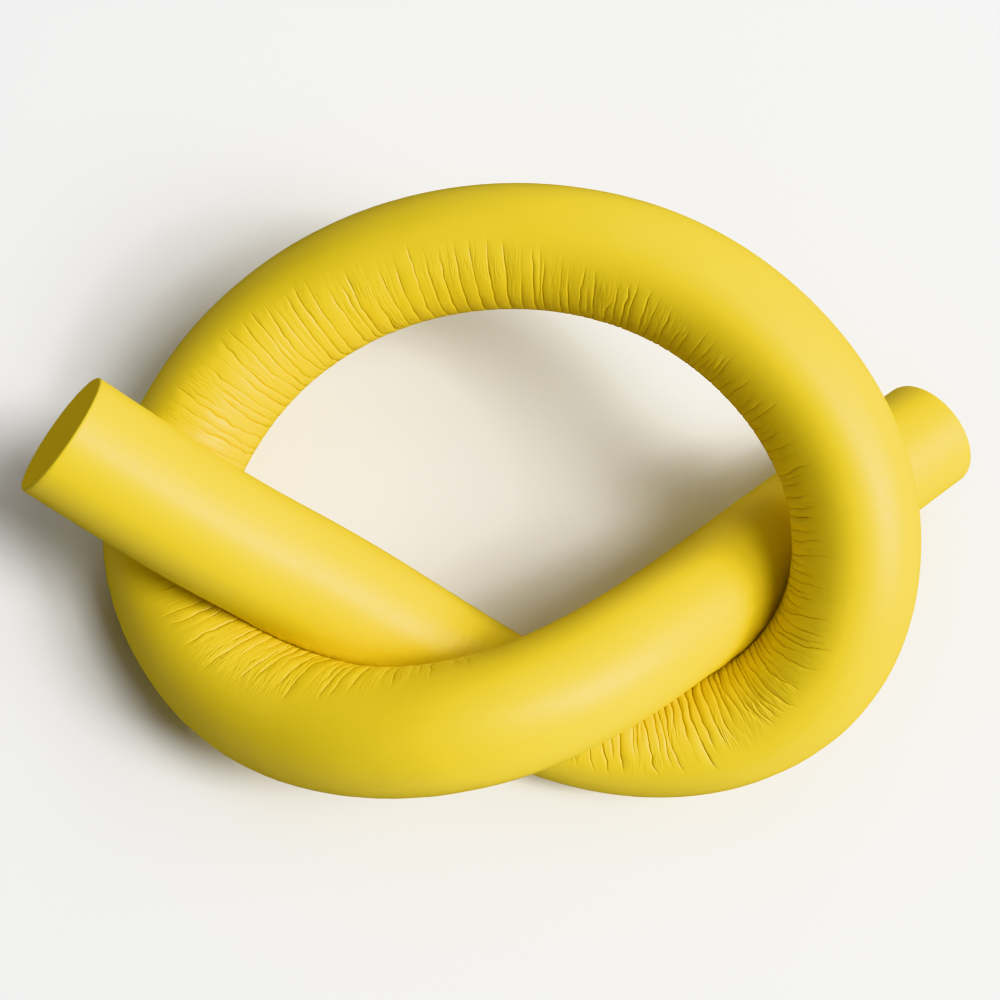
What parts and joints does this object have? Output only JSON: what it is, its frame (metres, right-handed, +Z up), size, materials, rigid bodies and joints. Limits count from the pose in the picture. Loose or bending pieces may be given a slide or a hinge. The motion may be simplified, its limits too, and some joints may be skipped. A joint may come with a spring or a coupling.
{
  "type": "swim noodle",
  "caption": "Solid foam swim noodle with a smooth yellow skin, tied in a loose overhand knot and lying on three points of contact.",
  "frame": {"origin": "under the middle of the knot, on the surface that it lies on", "axes": "+Z up; +X from the left tail's end towards the right tail's end; +Y towards the top of the loop"},
  "size_m": [0.4795, 0.2919, 0.1636],
  "materials": {
    "foam": "fine closed-cell polyethylene foam",
    "skin": "smooth satin skin, finely wrinkled on the inside of the bends"
  },
  "bodies": {
    "root": {"foam_core": "foam", "outer_skin": "skin"}
  },
  "joints": []
}
